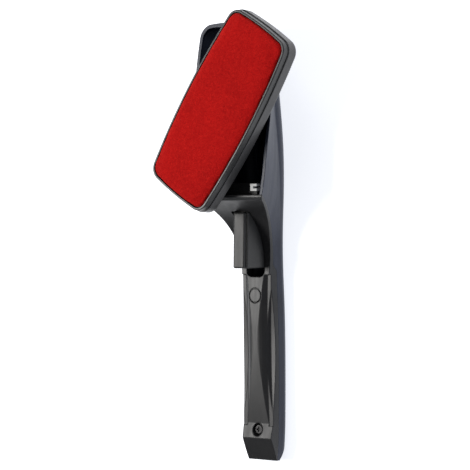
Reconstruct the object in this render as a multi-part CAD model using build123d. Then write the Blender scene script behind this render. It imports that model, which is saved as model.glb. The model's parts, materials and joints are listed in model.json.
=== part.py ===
from build123d import *
import os
from math import atan2, cos, radians, sin, sqrt, tan

# A clothes brush with a turning head.  The brush lies on its back: +Y runs from the
# grip's end towards the head, +Z is the side that the red pad faces, +X is to the
# right of the pad.  Everything is drawn with the swivel centre above the origin, and
# is moved along +Y by SWIVEL_Y when it is written, so that the row's origin is the
# middle of the flat back that the brush rests on.  All sizes are millimetres.

# Driving dimensions
SWIVEL_Y = 120.0            # swivel centre from the middle of the flat back
RIM_HEIGHT = 35.5           # tray rim above the back, at the swivel
TILT = 4.5                  # the tray rim leans this many degrees, lower end forward
HEAD_TURN = 32.1            # the head stands this far clockwise of the handle
HEAD_LENGTH = 119.4
HEAD_WIDTH = 57.2
HEAD_CORNER = 8.6
SIDE_BOW = 3.7              # how far the long sides bulge past the corners
END_BOW = 1.4
HEAD_GAP = 1.7              # head's back above the tray rim
SHELL_DEPTH = 8.0           # back half of the head
BEZEL_DEPTH = 4.2           # front frame of the head
BEZEL_STEP = 0.7            # the frame is this much smaller than the back half
LIP_WIDTH = 1.3             # frame's lip around the pad
WALL = 2.0
FIT = 0.15                  # gap between parts that are assembled together

TRAY_END = 55.0             # tray's upper end, along the handle from the swivel
TRAY_HALF_WIDTH = 30.0      # at the rim, where the bowed sides are widest
TRAY_WIDEST_Y = 6.0
TRAY_TOP_HALF_WIDTH = 26.0  # where the sides meet the upper end
TRAY_LIP_HALF_WIDTH = 26.3
TRAY_LIP_Y = -45.0
TRAY_CORNER = 9.5
TRAY_END_BOW = 1.6
RIM_FLARE = 0.3             # the handle's form is this much wider than the rim before it is trimmed
GRIP_END = -211.4
END_BEVEL = 11.0            # the grip's end is bevelled back this far along its back
NECK_RADIUS = 44.0          # concave sweep from the tray's lip to the grip
NECK_FOOT_Y = -92.0         # where that sweep meets the grip
COVER_SKIN = 2.4
PARTING_Z = 9.0             # seam between rear shell and cover along the grip
GRIP_TOP_Z = 14.0
CROWN_Y = -144.0            # middle of the finger scoops
CROWN_Z = 15.6
SCOOP_HALF_LENGTH = 46.0
SCOOP_TOP = (4.2, 15.7)     # scoop's slope starts here, from the middle and up from the back
SCOOP_FOOT = (9.0, 11.2)
BLEND_RADIUS = 9.0          # rounding between crown and scoop
BLEND_FACETS = 3
BLEND_DEPTH = 0.6
BADGE_Y = -110.8
BADGE_FLOOR_Z = 14.55       # bottom of the ring groove that frames the plain roundel

TRIGGER_HALF_WIDTH = 6.6
TRIGGER_BROW_HALF_WIDTH = 5.4   # the flanks lean in towards the front
TRIGGER_FRONT_Z = 29.4      # front of the pad at its upper end
TRIGGER_LEAN = 2.2          # the front stands out by this many degrees more towards the foot
TRIGGER_TOP_Y = -60.0
TRIGGER_FOOT_Y = -93.9
PAD_HEIGHT = 1.5            # how far the pad stands above the lever
WINDOW_DROP = 5.6           # window's foot below the trigger's
PIVOT_Y = -50.0
PIVOT_Z = 18.0
PIN_RADIUS = 1.5
PIN_LENGTH = 20.4
SPRING_Y = -80.0
SPRING_RADIUS = 3.0
SPRING_WIRE = 0.7
SPRING_TURNS = 4.5

SCREW_Y = -192.6            # cover screw, at the grip's end
COUNTERBORE_RADIUS = 4.0
TOOTH_IN = 16.8             # latch tooth's near and far sides from the middle
TOOTH_OUT = 21.6
TOOTH_TIP_Y = -42.9
FORK_Y = -46.1              # middle of the latch fork's plate
FORK_PLATE = 2.2
LATCH_BAR_Z = 27.0
GUARD_Z = 31.2              # ledge of the cover that hides the latch's bar
GUARD_HALF_WIDTH = 16.2
BOSS_RADIUS = 8.0           # swivel boss in the tray
SPIGOT_RADIUS = 4.0
SWIVEL_CLEARANCE = 0.06

# The swivel axis stands square to the tray rim.  In this frame z = 0 is the rim plane.
RIM_PLANE = Location((0, 0, RIM_HEIGHT), (-TILT, 0, 0))
HEAD_FRAME = RIM_PLANE * Location((0, 0, 0), (0, 0, -HEAD_TURN))

HEAD_BACK = HEAD_GAP
SHELL_TOP = HEAD_BACK + SHELL_DEPTH
HEAD_FRONT = SHELL_TOP + BEZEL_DEPTH
BOARD_BOTTOM = SHELL_TOP + 1.0
BOARD_TOP = BOARD_BOTTOM + 1.4
FOAM_TOP = BOARD_TOP + 1.2
PAD_TOP = HEAD_FRONT + 0.9
PAD_INSET = BEZEL_STEP + LIP_WIDTH + 0.1


def rim_z(along):
    """Height of the tray rim at a distance along the handle."""
    return RIM_HEIGHT - along * tan(radians(TILT))


def arc_z(radius, along):
    """Height of the neck's sweep, or of a surface concentric with it."""
    centre = GRIP_TOP_Z + NECK_RADIUS
    return centre - sqrt(radius**2 - (along - NECK_FOOT_Y) ** 2)


def rim_crossing(radius):
    """Where an arc concentric with the neck's sweep comes out at the tray rim."""
    low, high = NECK_FOOT_Y, NECK_FOOT_Y + radius
    for _ in range(50):
        middle = (low + high) / 2
        if arc_z(radius, middle) < rim_z(middle):
            low = middle
        else:
            high = middle
    return low


def side_prism(outline, half_width=60.0):
    """A side view, drawn as (along, height), pulled through to both sides."""
    return extrude(Plane.YZ * outline, amount=half_width, both=True)


# Handle

def edge_z(along):
    """Height of the front edge of the handle's side: rim, neck sweep, then grip."""
    if along > TRAY_LIP_Y - 4:
        return rim_z(along)
    return arc_z(NECK_RADIUS, max(along, NECK_FOOT_Y))


def station(along, edge_half, shoulder_half, shoulder_z, spine_half, spine_z, inset=0.0):
    """One cross-section of the handle: wide at the front edge, round towards the spine."""
    over = 4.0
    climb = edge_z(along) - shoulder_z
    top = edge_z(along) + over
    reach = edge_half + (edge_half - shoulder_half) * over / climb - inset
    shoulder = Vector(shoulder_half - inset, shoulder_z + inset * 0.3)
    spine = Vector(spine_half - inset * 0.6, spine_z + inset)
    across = shoulder - spine
    belly = (shoulder + spine) * 0.5 + Vector(across.Y, -across.X) * 0.19
    with BuildSketch(Plane((0, along, 0), x_dir=(1, 0, 0), z_dir=(0, -1, 0))) as cut:
        with BuildLine():
            Line((reach, top), (shoulder.X, shoulder.Y))
            ThreePointArc((shoulder.X, shoulder.Y), (belly.X, belly.Y), (spine.X, spine.Y))
            Line((spine.X, spine.Y), (-spine.X, spine.Y))
            ThreePointArc((-spine.X, spine.Y), (-belly.X, belly.Y), (-shoulder.X, shoulder.Y))
            Line((-shoulder.X, shoulder.Y), (-reach, top))
            Line((-reach, top), (reach, top))
        make_face()
    return cut.sketch.faces()[0]


# Along the handle, then half-width at the front edge, half-width and height of the
# shoulder, half-width and height of the spine.
STATIONS = [
    (-214.0, 10.0, 10.9, 5.5, 6.5, -0.3),
    (-196.0, 11.3, 13.0, 5.5, 7.5, -0.3),
    (-182.0, 11.2, 13.6, 5.5, 7.8, -0.3),
    (-144.0, 11.5, 14.2, 5.5, 8.0, -0.3),
    (-116.0, 10.9, 13.9, 5.5, 7.8, -0.3),
    (-98.0, 10.6, 13.3, 5.8, 7.5, -0.3),
    (-80.0, 12.6, 13.3, 6.5, 7.5, -0.3),
    (-62.0, 18.6, 14.6, 7.8, 7.5, -0.3),
    (-45.0, TRAY_LIP_HALF_WIDTH + RIM_FLARE, 16.4, 10.0, 7.5, -0.3),
    (-20.0, 28.3 + RIM_FLARE, 17.6, 13.0, 8.0, 0.4),
    (10.0, TRAY_HALF_WIDTH + RIM_FLARE, 17.8, 16.6, 8.5, 3.8),
    (34.0, 28.5 + RIM_FLARE, 18.2, 18.6, 9.0, 8.6),
    (48.0, 27.2 + RIM_FLARE, 18.8, 21.2, 9.0, 13.4),
    (58.0, TRAY_TOP_HALF_WIDTH + RIM_FLARE, 19.6, 24.2, 9.0, 18.6),
]


def handle_form(inset=0.0):
    """The handle's outside, or its inside when it is given a wall."""
    return loft([station(*row, inset=inset) for row in STATIONS])


def tray_outline(inset=0.0):
    """Plan of the tray in the rim plane: bowed sides and rounded upper corners."""
    spread = 20.0
    top = (TRAY_TOP_HALF_WIDTH - inset, TRAY_END - TRAY_END_BOW - inset)
    end = (0, TRAY_END - inset)
    widest = (TRAY_HALF_WIDTH - inset, TRAY_WIDEST_Y)
    lip = (TRAY_LIP_HALF_WIDTH - inset, TRAY_LIP_Y)
    flare = (lip[0] + spread, lip[1] - spread)
    foot = (flare[0], GRIP_END - spread)
    with BuildSketch() as plan:
        with BuildLine():
            ThreePointArc(lip, widest, top)
            ThreePointArc(top, end, (-top[0], top[1]))
            ThreePointArc((-top[0], top[1]), (-widest[0], widest[1]), (-lip[0], lip[1]))
            Polyline((-lip[0], lip[1]), (-flare[0], flare[1]), (-foot[0], foot[1]), foot, flare, lip)
        make_face()
        fillet(plan.vertices().sort_by(Axis.Y)[-2:], TRAY_CORNER - inset)
    return plan.sketch


def cover_outline():
    """Side view of the grip cover: lip, neck sweep, crowned grip, screw facet, end facet."""
    lip_y = rim_crossing(NECK_RADIUS)
    inner_lip_y = rim_crossing(NECK_RADIUS + COVER_SKIN)
    middle = (lip_y + NECK_FOOT_Y) / 2
    inner_middle = (inner_lip_y + NECK_FOOT_Y) / 2
    inner = NECK_RADIUS + COVER_SKIN
    facet_top = (SCREW_Y + 3.8, 13.2)
    ridge = (SCREW_Y - 4.9, 15.2)
    with BuildSketch() as view:
        with BuildLine():
            ThreePointArc(
                (lip_y, rim_z(lip_y)), (middle, arc_z(NECK_RADIUS, middle)), (NECK_FOOT_Y, GRIP_TOP_Z)
            )
            ThreePointArc((NECK_FOOT_Y, GRIP_TOP_Z), (CROWN_Y, CROWN_Z), facet_top)
            Line(facet_top, ridge)
            Line(ridge, (GRIP_END, PARTING_Z + 0.4))
            Line((GRIP_END, PARTING_Z + 0.4), (GRIP_END, PARTING_Z))
            Line((GRIP_END, PARTING_Z), (NECK_FOOT_Y - 4, PARTING_Z))
            Line((NECK_FOOT_Y - 4, PARTING_Z), (NECK_FOOT_Y, arc_z(inner, NECK_FOOT_Y)))
            ThreePointArc(
                (NECK_FOOT_Y, arc_z(inner, NECK_FOOT_Y)),
                (inner_middle, arc_z(inner, inner_middle)),
                (inner_lip_y, rim_z(inner_lip_y)),
            )
            Line((inner_lip_y, rim_z(inner_lip_y)), (lip_y, rim_z(lip_y)))
        make_face()
    return view.sketch


def shell_outline():
    """Side view of the rear shell: tray rim, then everything behind the cover."""
    inner = NECK_RADIUS + COVER_SKIN
    inner_lip_y = rim_crossing(inner)
    middle = (inner_lip_y + NECK_FOOT_Y) / 2
    with BuildSketch() as view:
        with BuildLine():
            Line((TRAY_END, rim_z(TRAY_END)), (inner_lip_y, rim_z(inner_lip_y)))
            ThreePointArc(
                (inner_lip_y, rim_z(inner_lip_y)),
                (middle, arc_z(inner, middle)),
                (NECK_FOOT_Y, arc_z(inner, NECK_FOOT_Y)),
            )
            Polyline(
                (NECK_FOOT_Y, arc_z(inner, NECK_FOOT_Y)),
                (NECK_FOOT_Y - 4, PARTING_Z),
                (GRIP_END, PARTING_Z),
                (GRIP_END, 7.0),
                (GRIP_END + END_BEVEL, 0.0),
                (TRAY_END, 0.0),
                (TRAY_END, rim_z(TRAY_END)),
            )
        make_face()
    return view.sketch


def plan_prism(inset=0.0, below=80.0, above=20.0):
    """The tray's plan pulled square to the rim plane, which rounds the upper corners."""
    body = extrude(tray_outline(inset), amount=above)
    return RIM_PLANE * (body + extrude(tray_outline(inset), amount=-below))


def long_cut(side, point, angle, depth):
    """A shallow cut along the grip that touches its section at a point and slopes outward."""
    outward = Vector(side * sin(angle), 0, cos(angle))
    downhill = Vector(side * cos(angle), 0, -sin(angle))
    radius = (SCOOP_HALF_LENGTH**2 + depth**2) / (2 * depth)
    centre = Vector(side * point[0], CROWN_Y, point[1]) + outward * radius
    return Plane(origin=centre, z_dir=downhill) * Cylinder(radius, 60)


def scoop(side):
    """A long shallow hollow beside the crown, where the fingers close round the grip."""
    slope = atan2(SCOOP_TOP[1] - SCOOP_FOOT[1], SCOOP_FOOT[0] - SCOOP_TOP[0])
    outward = (sin(slope), cos(slope))
    edge = (12.0, GRIP_TOP_Z - 0.2)
    depth = (edge[0] - SCOOP_TOP[0]) * outward[0] + (edge[1] - SCOOP_TOP[1]) * outward[1]
    ledge_dip = edge[1] - SCOOP_FOOT[1]
    ledge_radius = (SCOOP_HALF_LENGTH**2 + ledge_dip**2) / (2 * ledge_dip)
    ledge_height = SCOOP_FOOT[1] + ledge_radius
    ledge = Pos(0, CROWN_Y, ledge_height) * Rot(0, 90, 0) * Cylinder(ledge_radius, 60)
    near = Pos(side * 15, CROWN_Y, 13) * Box(30, 2.2 * SCOOP_HALF_LENGTH, 12)
    return long_cut(side, SCOOP_TOP, slope, depth) & ledge & near


def crown_blend(side):
    """Narrow facets that round the crown over into the scoop along its middle."""
    slope = atan2(SCOOP_TOP[1] - SCOOP_FOOT[1], SCOOP_FOOT[0] - SCOOP_TOP[0])
    centre_x = SCOOP_TOP[0] - BLEND_RADIUS * tan(slope / 2)
    centre_z = SCOOP_TOP[1] - BLEND_RADIUS
    cuts = Part()
    for step in range(1, BLEND_FACETS + 1):
        angle = slope * step / (BLEND_FACETS + 1)
        touch = (centre_x + BLEND_RADIUS * sin(angle), centre_z + BLEND_RADIUS * cos(angle))
        cuts += long_cut(side, touch, angle, BLEND_DEPTH)
    return cuts & Pos(side * 15, CROWN_Y, 16) * Box(30, 2 * SCOOP_HALF_LENGTH, 6)


def make_handle_shell(form, inside):
    """Rear shell: tray, neck and grip channel in one moulding, with its bosses and ribs."""
    outside = form & side_prism(shell_outline()) & plan_prism()
    hollow = inside & plan_prism(WALL, above=30)
    low, high = GRIP_END + END_BEVEL, TRAY_END - WALL - 1
    hollow &= Pos(0, (low + high) / 2, 20) * Box(80, high - low, 80)
    shell = outside - hollow
    height = RIM_HEIGHT + 5
    boss = RIM_PLANE * Pos(0, 0, 1.4 - height / 2) * Cylinder(BOSS_RADIUS, height)
    ribs = Pos(0, 0, 12) * Box(70, 1.8, 14) + Pos(0, -3, 8) * Box(1.8, 60, 10)
    lugs = Part()
    for side in (-1, 1):
        lugs += Pos(side * 8.8, PIVOT_Y, 11) * Box(2.2, 9, 22)
    screw_boss = Pos(0, SCREW_Y, PARTING_Z / 2 - 0.2) * Cylinder(4.0, PARTING_Z + 0.4)
    peg = Pos(0, SPRING_Y, 2.5) * Cylinder(SPRING_RADIUS - SPRING_WIRE - 0.4, 5.0)
    stop = Pos(0, -101, 4) * Box(22, 1.8, 8)
    fittings = (boss + ribs + lugs + screw_boss + peg + stop) & form & side_prism(shell_outline())
    shell += fittings
    spigot_top = HEAD_BACK + 3.5
    shell += boss & (RIM_PLANE * Pos(0, 0, 0.7) * Box(30, 30, 1.4))
    shell += RIM_PLANE * Pos(0, 0, spigot_top / 2) * Cylinder(SPIGOT_RADIUS, spigot_top)
    shell -= RIM_PLANE * Pos(0, 0, spigot_top - 7) * Cylinder(1.6, 14)
    shell -= Pos(0, PIVOT_Y, PIVOT_Z) * Rot(0, 90, 0) * Cylinder(PIN_RADIUS, PIN_LENGTH)
    shell -= Pos(0, SCREW_Y, 6.5) * Cylinder(1.4, 9)
    return shell


def trigger_window():
    """Slot in the cover that the trigger comes through, rounded at its foot."""
    length = TRIGGER_TOP_Y + 0.6 - (TRIGGER_FOOT_Y - WINDOW_DROP)
    slot = Pos(0, TRIGGER_TOP_Y + 0.6 - length / 2) * Rectangle(2 * TRIGGER_HALF_WIDTH + 0.9, length)
    slot = fillet(slot.vertices().sort_by(Axis.Y)[:2], 4.0)
    return extrude(slot, amount=60)


def make_grip_cover(form):
    """Front cover: tray lip, neck sweep, crowned grip with finger scoops, screw facet."""
    cover = form & side_prism(cover_outline())
    for side in (-1, 1):
        cover -= scoop(side)
        cover -= crown_blend(side)
    cover -= trigger_window()
    guard_top_y = TOOTH_TIP_Y + 0.5
    guard_foot_y = rim_crossing(NECK_RADIUS) - 4.5
    guard_length = guard_top_y - guard_foot_y
    guard = Pos(0, guard_top_y - guard_length / 2, GUARD_Z) * Box(2 * GUARD_HALF_WIDTH, guard_length, 1.4)
    cover += guard
    cover -= Pos(0, CROWN_Y, PARTING_Z + 0.9) * Box(11, 2 * SCOOP_HALF_LENGTH - 8, 2.4)
    ring = Cylinder(4.7, 6) - Cylinder(4.1, 6)
    cover -= Pos(0, BADGE_Y, BADGE_FLOOR_Z + 3) * ring
    cover -= Pos(0, SCREW_Y, 11.2 + 5) * Cylinder(COUNTERBORE_RADIUS, 10)
    cover -= Pos(0, SCREW_Y, 10) * Cylinder(1.7, 10)
    return cover


def make_cover_screw():
    """Pan-head screw that holds the cover to the rear shell, with a cross recess."""
    head = Pos(0, 0, 0.9) * Cylinder(3.1, 1.8)
    head = fillet(head.edges().sort_by(Axis.Z)[-1], 0.8)
    shank = Pos(0, 0, -4) * Cylinder(1.4, 8)
    recess = Pos(0, 0, 1.4) * (Box(3.4, 0.9, 1.4) + Box(0.9, 3.4, 1.4))
    return Pos(0, SCREW_Y, 11.2) * (head + shank - recess)


# Trigger group

def brow_z(along):
    """Height of the lever's front face, which leans out towards the foot."""
    return TRIGGER_FRONT_Z - PAD_HEIGHT + (TRIGGER_TOP_Y - along) * tan(radians(TRIGGER_LEAN))


def trigger_side_view():
    """Side view of the lever: paddle below, hub round the pivot above."""
    with BuildSketch() as view:
        with BuildLine():
            Polyline(
                (TRIGGER_TOP_Y, brow_z(TRIGGER_TOP_Y)),
                (TRIGGER_FOOT_Y, brow_z(TRIGGER_FOOT_Y)),
                (TRIGGER_FOOT_Y, 12.6),
                (-72.0, 11.4),
                (PIVOT_Y - 2, PIVOT_Z - 4.2),
                (PIVOT_Y + 4.2, PIVOT_Z - 3.0),
                (PIVOT_Y + 4.2, PIVOT_Z + 4.4),
                (TRIGGER_TOP_Y + 1.5, PIVOT_Z + 5.6),
                (TRIGGER_TOP_Y, TRIGGER_FRONT_Z - 6),
                (TRIGGER_TOP_Y, brow_z(TRIGGER_TOP_Y)),
            )
        make_face()
    return view.sketch


def trigger_cross_section():
    """The lever seen along the handle: upright flanks that lean in towards the front."""
    front = brow_z(TRIGGER_FOOT_Y) + 2
    with BuildSketch(Plane((0, 0, 0), x_dir=(1, 0, 0), z_dir=(0, -1, 0))) as view:
        with BuildLine():
            Polyline(
                (-TRIGGER_HALF_WIDTH, 5.0),
                (TRIGGER_HALF_WIDTH, 5.0),
                (TRIGGER_HALF_WIDTH, 17.0),
                (TRIGGER_BROW_HALF_WIDTH, front),
                (-TRIGGER_BROW_HALF_WIDTH, front),
                (-TRIGGER_HALF_WIDTH, 17.0),
                (-TRIGGER_HALF_WIDTH, 5.0),
            )
        make_face()
    return view.sketch


def front_slab(width, thickness, lift):
    """A strip along the lever's front face, lifted off it and leaning with it."""
    middle = (TRIGGER_TOP_Y + TRIGGER_FOOT_Y) / 2
    place = Location((0, middle, brow_z(middle) + lift), (-TRIGGER_LEAN, 0, 0))
    return place, Box(width, TRIGGER_TOP_Y - TRIGGER_FOOT_Y - 0.1, thickness)


def make_trigger():
    """Lever: a hollow-backed paddle body with a hub for the pin."""
    lever = side_prism(trigger_side_view(), TRIGGER_HALF_WIDTH)
    lever &= extrude(trigger_cross_section(), amount=120)
    brow = lever.edges().filter_by(lambda edge: edge.length > 30).sort_by(Axis.Z)[-2:]
    lever = fillet(brow, 0.9)
    foot_edges = lever.edges().filter_by(Axis.X).group_by(Axis.Y)[0].sort_by(Axis.Z)[-1:]
    lever = fillet(foot_edges, 1.0)
    place, seat = front_slab(9.0, 2.0, 0.0)
    lever -= place * seat
    lever -= Pos(0, -80.0, 15.0) * Box(9.0, 22.0, 16.0)
    lever += Pos(0, SPRING_Y, 13.6) * Cylinder(4.2, 2.0)
    lever += Pos(0, SPRING_Y, 18.0) * Box(2.0, 20.0, 10.0) - Pos(0, SPRING_Y, 12.0) * Box(3, 21, 1.2)
    lever -= Pos(0, PIVOT_Y, PIVOT_Z) * Rot(0, 90, 0) * Cylinder(PIN_RADIUS + SWIVEL_CLEARANCE, 20)
    lever -= Pos(0, FORK_Y, PIVOT_Z + 3.0) * Box(9.2, FORK_PLATE + 0.2, 3.2)
    return lever


def make_trigger_pad():
    """Raised strip on the front of the paddle that the finger pulls on."""
    sunk = 1.0
    place, strip = front_slab(8.6, PAD_HEIGHT + sunk, (PAD_HEIGHT - sunk) / 2)
    strip = fillet(strip.edges().filter_by(Axis.Y).sort_by(Axis.Z)[-2:], 1.0)
    strip = fillet(strip.edges().filter_by(Axis.X).sort_by(Axis.Z)[-2:], 0.9)
    return place * strip


def make_latch_fork():
    """Fork on the trigger whose two hooked teeth reach up to the back of the head."""
    bar_height = 3.6
    foot_y = FORK_Y - FORK_PLATE / 2
    tooth_top = rim_z(TOOTH_TIP_Y) + 0.3
    stem_height = LATCH_BAR_Z - PIVOT_Z
    stem = Pos(0, FORK_Y, PIVOT_Z + 1.5 + stem_height / 2) * Box(9.0, FORK_PLATE, stem_height)
    bar = Pos(0, FORK_Y, LATCH_BAR_Z) * Box(2 * TOOTH_IN + 3, FORK_PLATE, bar_height)
    brace = Pos(0, FORK_Y, LATCH_BAR_Z - 2.5) * Box(20.0, FORK_PLATE, 3.0)
    fork = stem + bar + brace
    tooth_base = LATCH_BAR_Z - bar_height / 2
    width = TOOTH_OUT - TOOTH_IN
    length = TOOTH_TIP_Y - foot_y
    height = tooth_top - tooth_base
    for side in (-1, 1):
        middle = side * (TOOTH_IN + TOOTH_OUT) / 2
        post = Pos(side * (TOOTH_IN + 1.1), FORK_Y, tooth_base + height / 2) * Box(2.2, FORK_PLATE, height)
        tip = Pos(middle, foot_y + length / 2, tooth_top - 1.6) * Box(width, length, 3.2)
        nick = Pos(side * TOOTH_OUT, foot_y + length * 0.5, tooth_top) * Box(5.4, 1.3, 8.0)
        fork += post + (tip - nick)
    return fork


def make_trigger_pin():
    """Steel pin that the trigger turns on, held in the two lugs."""
    return Pos(0, PIVOT_Y, PIVOT_Z) * Rot(0, 90, 0) * Cylinder(PIN_RADIUS, PIN_LENGTH)


def make_trigger_spring():
    """Return spring between the rear shell and the paddle."""
    foot = 2.3
    free_length = 12.5 - foot - 0.1
    pitch = (free_length - SPRING_WIRE) / SPRING_TURNS
    radius = SPRING_RADIUS - SPRING_WIRE / 2
    path = Helix(pitch, pitch * SPRING_TURNS, radius)
    profile = Plane(path @ 0, z_dir=path % 0) * Circle(SPRING_WIRE / 2)
    coil = sweep(profile, path, is_frenet=True)
    return Pos(0, SPRING_Y, foot + SPRING_WIRE / 2) * coil


# Head

def head_outline(inset=0.0):
    """Plan of the head: a rectangle with bowed sides and rounded corners."""
    half_w = HEAD_WIDTH / 2 - inset
    half_l = HEAD_LENGTH / 2 - inset
    corner_x = half_w - SIDE_BOW
    corner_y = half_l - END_BOW
    with BuildSketch() as plan:
        with BuildLine():
            ThreePointArc((corner_x, -corner_y), (half_w, 0), (corner_x, corner_y))
            ThreePointArc((corner_x, corner_y), (0, half_l), (-corner_x, corner_y))
            ThreePointArc((-corner_x, corner_y), (-half_w, 0), (-corner_x, -corner_y))
            ThreePointArc((-corner_x, -corner_y), (0, -half_l), (corner_x, -corner_y))
        make_face()
        fillet(plan.vertices(), HEAD_CORNER - inset)
    return plan.sketch


def layer(inset, bottom, top):
    """A slab of the head's plan between two heights above the rim plane."""
    return Pos(0, 0, bottom) * extrude(head_outline(inset), amount=top - bottom)


def make_head_shell():
    """Back half of the head: a dish with the swivel hub, two latch notches and ribs."""
    outer = layer(0, HEAD_BACK, SHELL_TOP)
    outer = fillet(outer.faces().sort_by(Axis.Z)[0].edges(), 2.2)
    outer = fillet(outer.faces().sort_by(Axis.Z)[-1].edges(), 0.5)
    shell = outer - layer(WALL, HEAD_BACK + 1.8, SHELL_TOP + 1)
    hub_top = HEAD_BACK + 2.9
    shell += Pos(0, 0, (HEAD_BACK + hub_top) / 2) * Cylinder(8.5, hub_top - HEAD_BACK)
    wall = Cylinder(11.0, 4.4) - Cylinder(9.2, 4.4)
    shell += Pos(0, 0, HEAD_BACK + 1.0 + 2.2) * wall
    for angle in (0, 90, 180, 270):
        reach = (HEAD_LENGTH if angle % 180 else HEAD_WIDTH) / 2 - 1.5 - 10.5
        rib = Pos(10.5 + reach / 2, 0, HEAD_BACK + 3.2) * Box(reach, 1.5, 3.4)
        shell += Rot(0, 0, angle) * rib
    shell -= Pos(0, 0, HEAD_BACK) * Cylinder(SPIGOT_RADIUS + SWIVEL_CLEARANCE, 20)
    for side_x in (-1, 1):
        for side_y in (-1, 1):
            shell -= Pos(side_x * 17.8, side_y * 46.7, HEAD_BACK) * Box(4.0, 4.0, 2.0)
    return shell


def make_head_bezel():
    """Front frame of the head: lip round the pad, with a skirt that snaps into the shell."""
    frame = layer(BEZEL_STEP, SHELL_TOP, HEAD_FRONT)
    frame = fillet(frame.faces().sort_by(Axis.Z)[-1].edges(), 0.7)
    frame -= layer(BEZEL_STEP + LIP_WIDTH, SHELL_TOP - 1, HEAD_FRONT + 1)
    ledge = layer(BEZEL_STEP + 0.6, SHELL_TOP, BOARD_BOTTOM)
    skirt = layer(WALL + FIT, SHELL_TOP - 2.4, SHELL_TOP)
    return frame + (ledge + skirt - layer(WALL + 1.6, SHELL_TOP - 3, SHELL_TOP + 2))


def make_pad_board():
    """Stiff board under the pad, resting on the frame's skirt."""
    return layer(PAD_INSET, BOARD_BOTTOM, BOARD_TOP)


def make_pad_foam():
    """Thin foam bonded to the board."""
    return layer(PAD_INSET + 0.2, BOARD_TOP, FOAM_TOP)


def make_pad_fabric():
    """Napped red cloth stretched over the foam."""
    cloth = layer(PAD_INSET, FOAM_TOP, PAD_TOP)
    return fillet(cloth.faces().sort_by(Axis.Z)[-1].edges(), 0.9)


def ring(inner, outer, bottom, top):
    """A washer round the swivel axis."""
    middle = (bottom + top) / 2
    return Pos(0, 0, middle) * (Cylinder(outer, top - bottom) - Cylinder(inner, top - bottom))


def make_wave_washer():
    """Springy washer that gives the swivel its friction."""
    low = HEAD_BACK + 3.0
    return ring(SPIGOT_RADIUS + 0.3, 7.0, low, low + 0.4)


def make_swivel_washer():
    """Flat steel washer clamped on the spigot by the screw."""
    low = HEAD_BACK + 3.5
    return ring(1.9, 7.5, low, low + 0.9)


def make_swivel_screw():
    """Screw into the handle's boss that keeps the head on."""
    seat = HEAD_BACK + 4.4
    head = Pos(0, 0, seat + 1.0) * Cylinder(3.8, 2.0)
    head = fillet(head.edges().sort_by(Axis.Z)[-1], 0.9)
    shank = Pos(0, 0, seat - 5.5) * Cylinder(1.6, 11)
    recess = Pos(0, 0, seat + 1.6) * (Box(4.2, 1.0, 1.4) + Box(1.0, 4.2, 1.4))
    return head + shank - recess


def write(name, part):
    """Move a part to its place in the row's frame and write it."""
    solids = (Pos(0, SWIVEL_Y, 0) * part).solids()
    whole = solids[0] if len(solids) == 1 else Compound(children=solids)
    export_step(whole, f"parts/{name}.step")


def build():
    os.makedirs("parts", exist_ok=True)
    form = handle_form()
    inside = handle_form(WALL)
    write("handle_shell", make_handle_shell(form, inside))
    write("grip_cover", make_grip_cover(form))
    write("cover_screw", make_cover_screw())
    write("trigger_lever", make_trigger())
    write("trigger_pad", make_trigger_pad())
    write("latch_fork", make_latch_fork())
    write("trigger_pin", make_trigger_pin())
    write("trigger_spring", make_trigger_spring())
    write("swivel_screw", RIM_PLANE * make_swivel_screw())
    write("swivel_washer", RIM_PLANE * make_swivel_washer())
    write("wave_washer", HEAD_FRAME * make_wave_washer())
    write("head_shell", HEAD_FRAME * make_head_shell())
    write("head_bezel", HEAD_FRAME * make_head_bezel())
    write("pad_board", HEAD_FRAME * make_pad_board())
    write("pad_foam", HEAD_FRAME * make_pad_foam())
    write("pad_fabric", HEAD_FRAME * make_pad_fabric())


build()
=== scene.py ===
import bpy
import json
from math import cos, radians, sin
from mathutils import Matrix, Vector, noise


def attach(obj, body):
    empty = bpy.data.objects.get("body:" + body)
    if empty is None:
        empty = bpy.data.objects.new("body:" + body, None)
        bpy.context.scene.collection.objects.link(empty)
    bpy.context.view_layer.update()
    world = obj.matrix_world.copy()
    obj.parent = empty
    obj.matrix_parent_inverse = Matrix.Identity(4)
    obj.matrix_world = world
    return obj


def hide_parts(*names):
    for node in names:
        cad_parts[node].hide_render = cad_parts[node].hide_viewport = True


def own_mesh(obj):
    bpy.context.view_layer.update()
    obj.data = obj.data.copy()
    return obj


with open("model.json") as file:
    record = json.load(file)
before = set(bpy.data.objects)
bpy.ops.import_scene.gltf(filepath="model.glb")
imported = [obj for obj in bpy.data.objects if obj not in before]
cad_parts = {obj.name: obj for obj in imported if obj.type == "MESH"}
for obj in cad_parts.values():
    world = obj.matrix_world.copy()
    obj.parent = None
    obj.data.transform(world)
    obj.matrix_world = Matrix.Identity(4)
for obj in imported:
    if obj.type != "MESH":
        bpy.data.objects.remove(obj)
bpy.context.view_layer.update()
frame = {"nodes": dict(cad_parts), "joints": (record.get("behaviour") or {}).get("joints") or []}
nodes = frame["nodes"]
joints = {joint["name"]: joint for joint in frame["joints"]}

# The swivel: its centre lies in the tray's rim plane, and its axis is square to that plane.
SWIVEL = Vector(joints["head_swivel"]["pos_m"])
SWIVEL_AXIS = Vector(joints["head_swivel"]["axis"]).normalized()
HEAD_TURN = radians(joints["head_swivel"]["range_deg"][1])

# Camera: looks at the pad from the right, with the handle hanging down the picture.
VIEW_TURN = radians(39.45)      # to the right of straight in front of the grip
VIEW_RISE = radians(1.13)       # above square to the handle
VIEW_ROLL = radians(-0.68)
VIEW_DISTANCE = 1.395
VIEW_LENS = 178.0               # millimetres, on a sensor SENSOR_WIDTH wide
SENSOR_WIDTH = 36
NEAREST_SEEN = 0.05
AIM_RIGHT = 0.0021              # camera's offset from the swivel, across and along the picture
AIM_UP = -0.0735

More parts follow.
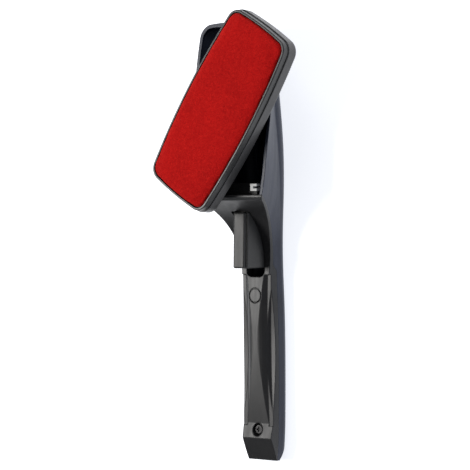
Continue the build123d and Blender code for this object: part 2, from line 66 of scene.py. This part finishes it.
# Light: soft boxes aimed at the handle's middle, over a floor that glows a little
LIT_POINT = Vector((0, 0, 0.02))
SOFT_BOXES = {                  # place, size, power in watts, colour
    "key": ((-0.82, 0.10, 1.02), (0.5, 0.56), 12.5, (1.0, 0.985, 0.965)),
    "top": ((0.15, 1.3, 0.8), (1.0, 0.5), 4.0, (1.0, 1.0, 1.0)),
    "side": ((1.25, -0.1, 0.12), (0.4, 1.1), 2.7, (0.78, 0.87, 1.0)),
}
FLOOR_REACH = 4.0
FLOOR_COLOUR = (0.93, 0.935, 0.95, 1)
FLOOR_GLOW_COLOUR = (0.96, 0.98, 1.03, 1)
FLOOR_GLOW = 0.80
SURROUND_COLOUR = (0.93, 0.96, 1, 1)
SURROUND = 0.15

# Edges of the mouldings
EDGE_SAMPLES = 6
# Radius of the edge mask for rubbed wear and for a painted highlight along the rims
EDGE_WEAR_AND_HIGHLIGHT_RADIUS = 0.0009
WORN_SCREW_RADIUS = 0.0004
EDGE_AGREEMENT = (0.99, 0.86)   # rounded normal against true one, on a face and on an edge

# The pad's cloth
PAD_VOXEL = 0.001
PAD_SWELL = 0.0008              # the furthest that a point of the cloth moves as it swells
PAD_SINK = 0.7                  # share of that swelling by which its face starts lower
PAD_PRESSURE = 4.0
PAD_FRAMES = 20
PAD_CLOTH_QUALITY = 4
PAD_SMOOTHING = 0.5
PAD_SMOOTH_PASSES = 4
PAD_SIDE_GIVE = 0.25            # share of that swelling which the frame's lip lets go sideways
PAD_SHRINK = 0.003
PAD_CLEARANCE = 0.00015
PAD_CROWN = 0.0010
PAD_CROWN_POWER = 4             # a high power keeps the crown flat and rolls off at its edges
TUFT_SIZE = 0.0011
TUFT_HEIGHT = 0.00007
DRIFT_SIZE = 0.012
DRIFT_HEIGHT = 0.00006
DRIFT_SHIFT = Vector((3.1, 1.7, 0.4))


# Camera, lights and floor

def from_upright(across, back, along):
    """A direction given as seen with the handle upright, in the row's frame."""
    return Vector((across, along, -back))


def add_camera():
    """A view of the pad from the grip's right, with a long lens."""
    level_share = cos(VIEW_RISE)
    toward = from_upright(sin(VIEW_TURN) * level_share, -cos(VIEW_TURN) * level_share, sin(VIEW_RISE))
    level = from_upright(cos(VIEW_TURN), sin(VIEW_TURN), 0)
    raised = toward.cross(level)
    right = level * cos(VIEW_ROLL) + raised * sin(VIEW_ROLL)
    up = raised * cos(VIEW_ROLL) - level * sin(VIEW_ROLL)
    place = SWIVEL + toward * VIEW_DISTANCE + right * AIM_RIGHT + up * AIM_UP
    data = bpy.data.cameras.new("camera")
    data.lens = VIEW_LENS
    data.sensor_width = SENSOR_WIDTH
    data.clip_start = NEAREST_SEEN
    camera = bpy.data.objects.new("camera", data)
    turn = Matrix((right, up, toward)).transposed().to_4x4()
    camera.matrix_world = Matrix.Translation(place) @ turn
    bpy.context.scene.collection.objects.link(camera)
    bpy.context.scene.camera = camera


def add_soft_box(name, place, size, power, colour):
    """An area light aimed at the lit point."""
    data = bpy.data.lights.new(name, "AREA")
    data.shape = "RECTANGLE"
    data.size, data.size_y = size
    data.energy = power
    data.color = colour
    light = bpy.data.objects.new(name, data)
    light.location = place
    light.rotation_euler = (Vector(place) - LIT_POINT).to_track_quat("Z", "Y").to_euler()
    bpy.context.scene.collection.objects.link(light)


def add_floor():
    """A pale plain floor that glows a little, so that shadows stay faint."""
    corners = [(x * FLOOR_REACH, y * FLOOR_REACH, 0) for x, y in ((-1, -1), (1, -1), (1, 1), (-1, 1))]
    mesh = bpy.data.meshes.new("floor")
    mesh.from_pydata(corners, [], [(0, 1, 2, 3)])
    floor = bpy.data.objects.new("floor", mesh)
    bpy.context.scene.collection.objects.link(floor)
    floor_paint, _, shader = new_material("floor_paint", 0.9, 0.1)
    shader.inputs["Base Color"].default_value = FLOOR_COLOUR
    shader.inputs["Emission Color"].default_value = FLOOR_GLOW_COLOUR
    shader.inputs["Emission Strength"].default_value = FLOOR_GLOW
    mesh.materials.append(floor_paint)


def add_surround():
    """A dim even light from all round."""
    world = bpy.data.worlds.new("surround")
    world.use_nodes = True
    background = world.node_tree.nodes["Background"]
    background.inputs["Color"].default_value = SURROUND_COLOUR
    background.inputs["Strength"].default_value = SURROUND
    bpy.context.scene.world = world
    bpy.context.scene.view_settings.view_transform = "Standard"


# Materials: every one is worked out from the piece's own coordinates

def new_material(name, roughness, specular=0.5):
    """A principled material, its node tree and its shader."""
    material = bpy.data.materials.new(name)
    material.use_nodes = True
    tree = material.node_tree
    shader = tree.nodes["Principled BSDF"]
    shader.inputs["Roughness"].default_value = roughness
    shader.inputs["Specular IOR Level"].default_value = specular
    return material, tree, shader


def place_noise(tree, scale, detail=2.0, roughness=0.5, stretch=(1, 1, 1)):
    """A noise pattern in the piece's own space; stretch draws it out along an axis."""
    coordinates = tree.nodes.new("ShaderNodeTexCoord")
    mapping = tree.nodes.new("ShaderNodeMapping")
    mapping.inputs["Scale"].default_value = stretch
    pattern = tree.nodes.new("ShaderNodeTexNoise")
    pattern.inputs["Scale"].default_value = scale
    pattern.inputs["Detail"].default_value = detail
    pattern.inputs["Roughness"].default_value = roughness
    tree.links.new(coordinates.outputs["Object"], mapping.inputs["Vector"])
    tree.links.new(mapping.outputs["Vector"], pattern.inputs["Vector"])
    return pattern.outputs["Fac"]


def remap(tree, value, from_range, to_range):
    """Stretches one range of a value on to another, clamped."""
    node = tree.nodes.new("ShaderNodeMapRange")
    node.inputs["From Min"].default_value, node.inputs["From Max"].default_value = from_range
    node.inputs["To Min"].default_value, node.inputs["To Max"].default_value = to_range
    tree.links.new(value, node.inputs["Value"])
    return node.outputs["Result"]


def blend_colours(tree, factor, low, high):
    """Mixes two colours, each a tuple or another node's output."""
    node = tree.nodes.new("ShaderNodeMix")
    node.data_type = "RGBA"
    tree.links.new(factor, node.inputs["Factor"])
    for socket, colour in ((node.inputs["A"], low), (node.inputs["B"], high)):
        if isinstance(colour, tuple):
            socket.default_value = (*colour, 1)
        else:
            tree.links.new(colour, socket)
    return node.outputs["Result"]


def multiply(tree, first, second):
    """The product of two values."""
    node = tree.nodes.new("ShaderNodeMath")
    node.operation = "MULTIPLY"
    tree.links.new(first, node.inputs[0])
    tree.links.new(second, node.inputs[1])
    return node.outputs[0]


def edge_mask(tree, radius):
    """One on edges and corners, nought on faces: where rounded and true normals part."""
    rounded = tree.nodes.new("ShaderNodeBevel")
    rounded.samples = EDGE_SAMPLES
    rounded.inputs["Radius"].default_value = radius
    surface = tree.nodes.new("ShaderNodeNewGeometry")
    match = tree.nodes.new("ShaderNodeVectorMath")
    match.operation = "DOT_PRODUCT"
    tree.links.new(rounded.outputs["Normal"], match.inputs[0])
    tree.links.new(surface.outputs["True Normal"], match.inputs[1])
    return remap(tree, match.outputs["Value"], EDGE_AGREEMENT, (0.0, 1.0))


def add_relief(tree, shader, height, strength, distance, round_radius=0.0):
    """Bumps the surface by a height pattern, on edges eased by a small radius."""
    bump = tree.nodes.new("ShaderNodeBump")
    bump.inputs["Strength"].default_value = strength
    bump.inputs["Distance"].default_value = distance
    tree.links.new(height, bump.inputs["Height"])
    if round_radius:
        eased = tree.nodes.new("ShaderNodeBevel")
        eased.samples = EDGE_SAMPLES
        eased.inputs["Radius"].default_value = round_radius
        tree.links.new(eased.outputs["Normal"], bump.inputs["Normal"])
    tree.links.new(bump.outputs["Normal"], shader.inputs["Normal"])


def scaled(colour, factor):
    """A colour made lighter or darker."""
    return tuple(min(channel * factor, 1.0) for channel in colour)


def moulded_plastic(name, colour, roughness, specular=0.5, round_radius=0.0006, edge_wear_and_highlight=1.9):
    """Fine-textured moulded plastic: uneven tone, edges lighter partly from rubbing and partly as a painted
    highlight, faint scuffs along the part.
    """
    material, tree, shader = new_material(name, roughness, specular)
    tone = remap(tree, place_noise(tree, 45, 4), (0.3, 0.7), (0.0, 1.0))
    speckle = remap(tree, place_noise(tree, 1500, 2), (0.35, 0.65), (0.0, 1.0))
    plain = blend_colours(tree, tone, scaled(colour, 0.84), scaled(colour, 1.14))
    flecked = blend_colours(tree, multiply(tree, speckle, tone), plain, scaled(colour, 1.4))
    patchy = remap(tree, place_noise(tree, 160, 3), (0.42, 0.62), (0.15, 1.0))
    # Lighter edges: partly rubbed wear, partly a painted highlight along the rims
    rubbed_and_highlit_edges = multiply(tree, edge_mask(tree, EDGE_WEAR_AND_HIGHLIGHT_RADIUS), patchy)
    worn_and_highlit = blend_colours(tree, rubbed_and_highlit_edges, flecked, scaled(colour, edge_wear_and_highlight))
    tree.links.new(worn_and_highlit, shader.inputs["Base Color"])
    scuffs = place_noise(tree, 210, 5, 0.62, (1, 0.14, 1))
    gloss = remap(tree, scuffs, (0.3, 0.75), (roughness - 0.05, roughness + 0.09))
    tree.links.new(gloss, shader.inputs["Roughness"])
    add_relief(tree, shader, place_noise(tree, 2600, 2), 0.25, 0.00004, round_radius)
    return material


def turned_steel(name):
    """Bright steel with fine drawing marks and a little tarnish."""
    material, tree, shader = new_material(name, 0.3)
    shader.inputs["Metallic"].default_value = 1.0
    tarnish = remap(tree, place_noise(tree, 420, 4), (0.35, 0.7), (0.0, 1.0))
    colour = blend_colours(tree, tarnish, (0.56, 0.56, 0.57), (0.36, 0.34, 0.31))
    tree.links.new(colour, shader.inputs["Base Color"])
    marks = place_noise(tree, 1500, 3, 0.6, (0.06, 1, 1))
    tree.links.new(remap(tree, marks, (0.3, 0.7), (0.22, 0.42)), shader.inputs["Roughness"])
    add_relief(tree, shader, marks, 0.2, 0.00002)
    return material


def blackened_steel(name):
    """A dark oiled screw, brighter where the driver has rubbed its edges."""
    material, tree, shader = new_material(name, 0.38)
    shader.inputs["Metallic"].default_value = 0.8
    patches = remap(tree, place_noise(tree, 700, 3), (0.35, 0.65), (0.0, 1.0))
    dark = blend_colours(tree, patches, (0.018, 0.018, 0.019), (0.035, 0.034, 0.034))
    bare = multiply(tree, edge_mask(tree, WORN_SCREW_RADIUS), patches)
    tree.links.new(blend_colours(tree, bare, dark, (0.22, 0.22, 0.23)), shader.inputs["Base Color"])
    add_relief(tree, shader, place_noise(tree, 1900, 2), 0.3, 0.00003, 0.0003)
    return material


def foam_rubber(name):
    """Closed-cell foam: small pits."""
    material, tree, shader = new_material(name, 0.95, 0.1)
    cells = tree.nodes.new("ShaderNodeTexVoronoi")
    cells.inputs["Scale"].default_value = 1400
    coordinates = tree.nodes.new("ShaderNodeTexCoord")
    tree.links.new(coordinates.outputs["Object"], cells.inputs["Vector"])
    # Darker in the pits: painted shade
    painted_pit_shade = remap(tree, cells.outputs["Distance"], (0.0, 0.7), (0.0, 1.0))
    colour = blend_colours(tree, painted_pit_shade, (0.06, 0.01, 0.01), (0.15, 0.025, 0.025))
    tree.links.new(colour, shader.inputs["Base Color"])
    add_relief(tree, shader, cells.outputs["Distance"], 0.5, 0.0002)
    return material


def napped_cloth(name):
    """Red one-way pile: clumped tufts, a brushed direction, paler where the pile leans over, darker between
    the tufts as painted shade.
    """
    material, tree, shader = new_material(name, 0.95, 0.05)
    shader.inputs["Sheen Weight"].default_value = 0.2
    shader.inputs["Sheen Roughness"].default_value = 0.55
    shader.inputs["Sheen Tint"].default_value = (1.0, 0.26, 0.18, 1)
    clumps = remap(tree, place_noise(tree, 520, 3, 0.6), (0.32, 0.68), (0.0, 1.0))
    lay = remap(tree, place_noise(tree, 85, 3, 0.55, (1.0, 0.45, 1.0)), (0.35, 0.68), (0.0, 1.0))
    tufts = remap(tree, place_noise(tree, 1700, 2, 0.7), (0.33, 0.66), (0.0, 1.0))
    ground = blend_colours(tree, lay, (0.430, 0.0032, 0.0046), (0.530, 0.0046, 0.0058))
    mottled = blend_colours(tree, multiply(tree, clumps, tufts), ground, (0.68, 0.014, 0.011))
    # Darker red where the tufts are low: painted shade between them
    painted_pile_shade = remap(tree, tufts, (0.0, 0.45), (0.55, 0.0))
    tree.links.new(blend_colours(tree, painted_pile_shade, mottled, (0.25, 0.002, 0.003)), shader.inputs["Base Color"])
    add_relief(tree, shader, tufts, 0.55, 0.00016)
    return material


def pressed_board(name):
    """Stiff grey board with a fibrous face."""
    material, tree, shader = new_material(name, 0.8, 0.2)
    fibres = remap(tree, place_noise(tree, 900, 4, 0.6, (1, 0.2, 1)), (0.3, 0.7), (0.0, 1.0))
    colour = blend_colours(tree, fibres, (0.07, 0.07, 0.07), (0.12, 0.118, 0.112))
    tree.links.new(colour, shader.inputs["Base Color"])
    add_relief(tree, shader, fibres, 0.3, 0.00005)
    return material


def paint(material, *names):
    """Gives CAD nodes' objects a material."""
    for name in names:
        nodes[name].data.materials.clear()
        nodes[name].data.materials.append(material)


def paint_cad_nodes():
    """The finish of every piece whose CAD shape stays."""
    # The shell's navy tint stands partly for a painted reflection of bluish light on its sides
    shell_finish = moulded_plastic("handle_plastic", (0.014, 0.0185, 0.035), 0.40, specular=0.38)
    cover_finish = moulded_plastic("cover_plastic", (0.021, 0.021, 0.022), 0.38, 0.32, round_radius=0.0009)
    screw_finish = blackened_steel("screw_black")
    steel_finish = turned_steel("steel")
    trigger_finish = moulded_plastic("trigger_plastic", (0.036, 0.036, 0.036), 0.42, 0.24, 0.0012, edge_wear_and_highlight=1.6)
    latch_finish = moulded_plastic("latch_plastic", (0.50, 0.50, 0.49), 0.5, 0.4, 0.0003, edge_wear_and_highlight=1.2)
    head_finish = moulded_plastic("head_plastic", (0.052, 0.051, 0.052), 0.40)
    # The bezel's edges are lightened most: a painted highlight along its lip, with some rubbed wear
    bezel_finish = moulded_plastic("bezel_plastic", (0.038, 0.038, 0.038), 0.34, 0.4, 0.0004, edge_wear_and_highlight=3.5)
    paint(shell_finish, "handle_shell")
    paint(cover_finish, "grip_cover")
    paint(screw_finish, "cover_screw")
    paint(trigger_finish, "trigger_lever", "trigger_pad")
    paint(latch_finish, "latch_fork")
    paint(head_finish, "head_shell")
    paint(bezel_finish, "head_bezel")
    paint(steel_finish, "trigger_pin", "trigger_spring", "swivel_screw", "swivel_washer", "wave_washer")
    paint(pressed_board("board_plastic"), "pad_board")
    paint(foam_rubber("foam"), "pad_foam")


# The pad: cloth drawn over foam

def head_space():
    """From the row's frame to the head's own: +Y along the head, +Z out of the pad."""
    turn = Matrix.Rotation(-HEAD_TURN, 3, SWIVEL_AXIS)
    across = turn @ Vector((1, 0, 0))
    along = turn @ SWIVEL_AXIS.cross(Vector((1, 0, 0)))
    axes = Matrix((across, along, SWIVEL_AXIS)).to_4x4()
    return axes @ Matrix.Translation(-SWIVEL)


def evaluated_mesh(obj):
    """The mesh that an object's modifiers give now."""
    graph = bpy.context.evaluated_depsgraph_get()
    return bpy.data.meshes.new_from_object(obj.evaluated_get(graph), depsgraph=graph)


def bake_modifiers(obj):
    """Puts the modifiers' result in the object's own mesh."""
    mesh = evaluated_mesh(obj)
    obj.modifiers.clear()
    obj.data = mesh


def inflate(obj, pressure, frames):
    """Lets a closed piece of cloth swell from inside for some frames."""
    cloth = obj.modifiers.new("cloth", "CLOTH")
    cloth.settings.quality = PAD_CLOTH_QUALITY
    cloth.settings.use_pressure = True
    cloth.settings.uniform_pressure_force = pressure
    cloth.settings.effector_weights.gravity = 0
    cloth.collision_settings.use_collision = False
    cloth.point_cache.frame_start = 1
    cloth.point_cache.frame_end = frames
    for step in range(1, frames + 1):
        bpy.context.scene.frame_set(step)
    bake_modifiers(obj)
    bpy.context.scene.frame_set(1)


def nap(mesh, edge_height):
    """Crowns the cloth's face a little and raises small tufts over it."""
    half_width = max(vertex.co.x for vertex in mesh.vertices)
    places = [vertex.co.copy() for vertex in mesh.vertices]
    normals = [vertex.normal.copy() for vertex in mesh.vertices]
    for vertex, place, normal in zip(mesh.vertices, places, normals):
        if place.z < edge_height:
            continue
        fine = noise.noise(place / TUFT_SIZE)
        broad = noise.noise(place / DRIFT_SIZE + DRIFT_SHIFT)
        crown = max(0.0, 1 - (place.x / half_width) ** PAD_CROWN_POWER)
        vertex.co = place + normal * (fine * TUFT_HEIGHT + broad * DRIFT_HEIGHT)
        vertex.co.z += PAD_CROWN * crown


def pad_blank(to_head):
    """The CAD slab carried down to the board, with the heights of its bottom and of its lower edge."""
    mesh = nodes["pad_fabric"].data.copy()
    mesh.transform(to_head)
    heights = [vertex.co.z for vertex in mesh.vertices]
    middle = (max(heights) + min(heights)) / 2
    bottom = min((to_head @ vertex.co).z for vertex in nodes["pad_foam"].data.vertices) + PAD_CLEARANCE
    for vertex in mesh.vertices:
        if vertex.co.z < middle:
            vertex.co.z = bottom
        else:
            vertex.co.z -= PAD_SWELL * PAD_SINK
        vertex.co.xy *= 1 - PAD_SHRINK
    return mesh, bottom, middle


def swell(pad, bottom):
    """Swells the pad as cloth, with each point's move capped."""
    start = [vertex.co.copy() for vertex in pad.data.vertices]
    inflate(pad, PAD_PRESSURE, PAD_FRAMES)
    for vertex, home in zip(pad.data.vertices, start):
        move = vertex.co - home
        move.x *= PAD_SIDE_GIVE
        move.y *= PAD_SIDE_GIVE
        if move.length > PAD_SWELL:
            move.length = PAD_SWELL
        vertex.co = home + move
        vertex.co.z = max(vertex.co.z, bottom)


def make_pad():
    """The red pad: a blank on the board, swollen as cloth, smoothed, then napped."""
    to_head = head_space()
    mesh, bottom, middle = pad_blank(to_head)
    pad = bpy.data.objects.new("pad_cloth", mesh)
    bpy.context.scene.collection.objects.link(pad)
    remesh = pad.modifiers.new("remesh", "REMESH")
    remesh.mode = "VOXEL"
    remesh.voxel_size = PAD_VOXEL
    bake_modifiers(pad)
    swell(pad, bottom)
    smooth = pad.modifiers.new("smooth", "SMOOTH")
    smooth.factor = PAD_SMOOTHING
    smooth.iterations = PAD_SMOOTH_PASSES
    finer = pad.modifiers.new("finer", "SUBSURF")
    finer.levels = 1
    bake_modifiers(pad)
    nap(pad.data, middle)
    pad.data.transform(to_head.inverted())
    for face in pad.data.polygons:
        face.use_smooth = True
    pad.data.materials.clear()
    pad.data.materials.append(napped_cloth("pad_cloth"))
    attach(pad, "head")
    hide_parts("pad_fabric", "pad_foam")


# The trigger's spring

def make_spring():
    """The coil as its own piece, carried by the handle."""
    spring = bpy.data.objects.new("spring_coil", evaluated_mesh(nodes["trigger_spring"]))
    bpy.context.scene.collection.objects.link(spring)
    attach(spring, "handle")
    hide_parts("trigger_spring")
    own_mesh(spring)


add_camera()
add_floor()
for name, (place, size, power, colour) in SOFT_BOXES.items():
    add_soft_box(name, place, size, power, colour)
add_surround()
paint_cad_nodes()
make_pad()
make_spring()
